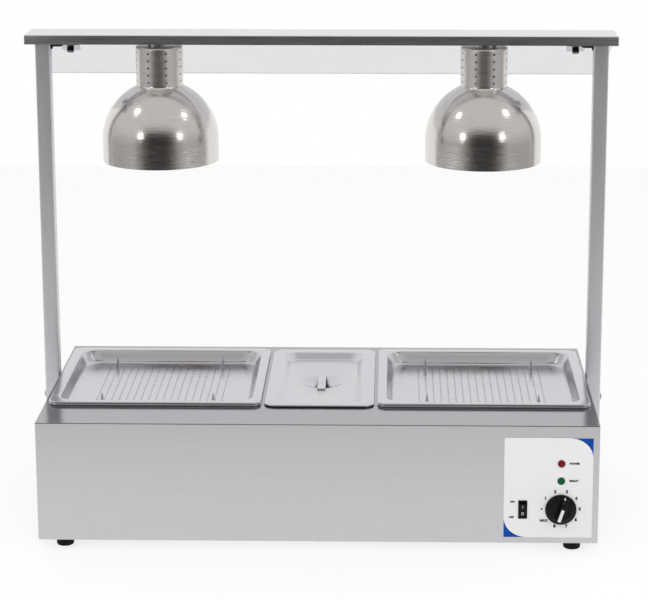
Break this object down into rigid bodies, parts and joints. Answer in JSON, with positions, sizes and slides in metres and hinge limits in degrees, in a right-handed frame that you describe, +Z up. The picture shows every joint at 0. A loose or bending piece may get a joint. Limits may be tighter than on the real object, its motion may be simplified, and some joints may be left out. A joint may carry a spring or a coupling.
{
  "type": "heated carving station",
  "caption": "Countertop heated carving station: spiked carving trays over drip pans and a lidded pan hang in a heated well, lit by bell lamps on a shelf above.",
  "frame": {"origin": "on the table, under the middle of the whole object's box", "axes": "+X to the right along the front as the user faces it, +Y from the front to the rear, +Z up"},
  "size_m": [0.9914, 0.496, 0.818],
  "materials": {
    "brushed_steel": "fine horizontal brushing",
    "polished_steel": "polished",
    "zinc_steel": "bright zinc",
    "black_rubber": "matt",
    "black_plastic": "satin",
    "white_plate": "satin print film on a plate, with blue corners",
    "white_plastic": "satin",
    "red_lens": "clear tinted",
    "green_lens": "clear tinted",
    "clear_acrylic": "clear polished",
    "bulb_glass": "frosted, slightly red",
    "porcelain": "gloss",
    "brass": "plain",
    "copper": "plain",
    "element_sheath": "oxidised",
    "cable_sheath": "matt"
  },
  "bodies": {
    "station": {"body_wrap": "brushed_steel", "rear_panel": "brushed_steel", "base_plate": "brushed_steel", "shelf": "brushed_steel", "shelf_edges": "brushed_steel", "post_left": "brushed_steel", "post_right": "brushed_steel", "guard_brackets": "brushed_steel", "deck": "polished_steel", "well": "polished_steel", "divider_bar_left": "polished_steel", "divider_bar_right": "polished_steel", "lamp_shade_left": "polished_steel", "lamp_shade_right": "polished_steel", "element_brackets": "polished_steel", "sensor_clip": "polished_steel", "foot_screws": "zinc_steel", "panel_screws": "zinc_steel", "thermostat_screws": "zinc_steel", "thermostat": "zinc_steel", "post_bolts": "zinc_steel", "post_nuts": "zinc_steel", "guard_screws": "zinc_steel", "lamp_stems": "zinc_steel", "lamp_nuts": "zinc_steel", "feet": "black_rubber", "grommets": "black_rubber", "switch_housing": "black_plastic", "indicator_sleeves": "black_plastic", "cable_gland": "black_plastic", "gland_nut": "black_plastic", "post_caps": "black_plastic", "guard_nuts": "black_plastic", "control_plate": "white_plate", "terminal_block": "white_plastic", "indicator_red": "red_lens", "indicator_green": "green_lens", "guard": "clear_acrylic", "bulb_left": "bulb_glass", "bulb_right": "bulb_glass", "lamp_holders": "porcelain", "element_glands": "brass", "earth_stud": "brass", "sensor": "copper", "heating_element": "element_sheath", "lamp_leads": "cable_sheath", "wiring": "cable_sheath"},
    "knob": {"knob": "black_plastic", "knob_pointer": "white_plastic", "spindle": "zinc_steel"},
    "rocker": {"rocker": "black_plastic"},
    "drip_pan_left": {"drip_pan_left": "polished_steel"},
    "carving_tray_left": {"carving_tray_left": "polished_steel", "spikes_left": "polished_steel"},
    "drip_pan_right": {"drip_pan_right": "polished_steel"},
    "carving_tray_right": {"carving_tray_right": "polished_steel", "spikes_right": "polished_steel"},
    "pan_middle": {"pan_middle": "polished_steel"},
    "lid": {"lid": "polished_steel", "lid_strap": "polished_steel"}
  },
  "joints": [
    {"name": "knob_turn", "type": "hinge", "parent": "station", "child": "knob", "pos_m": [0.3962, -0.222, 0.077], "axis": [0, 1, 0], "range_deg": [-108, 216]},
    {"name": "rocker_tilt", "type": "hinge", "parent": "station", "child": "rocker", "pos_m": [0.3345, -0.219, 0.076], "axis": [-1, 0, 0], "range_deg": [0, 16]},
    {"name": "drip_pan_left_lift", "type": "slide", "parent": "station", "child": "drip_pan_left", "axis": [0, 0, 1], "range_m": [0, 0.08]},
    {"name": "carving_tray_left_lift", "type": "slide", "parent": "drip_pan_left", "child": "carving_tray_left", "axis": [0, 0, 1], "range_m": [0, 0.05]},
    {"name": "drip_pan_right_lift", "type": "slide", "parent": "station", "child": "drip_pan_right", "axis": [0, 0, 1], "range_m": [0, 0.08]},
    {"name": "carving_tray_right_lift", "type": "slide", "parent": "drip_pan_right", "child": "carving_tray_right", "axis": [0, 0, 1], "range_m": [0, 0.05]},
    {"name": "pan_middle_lift", "type": "slide", "parent": "station", "child": "pan_middle", "axis": [0, 0, 1], "range_m": [0, 0.12]},
    {"name": "lid_lift", "type": "slide", "parent": "pan_middle", "child": "lid", "axis": [0, 0, 1], "range_m": [0, 0.06]}
  ]
}
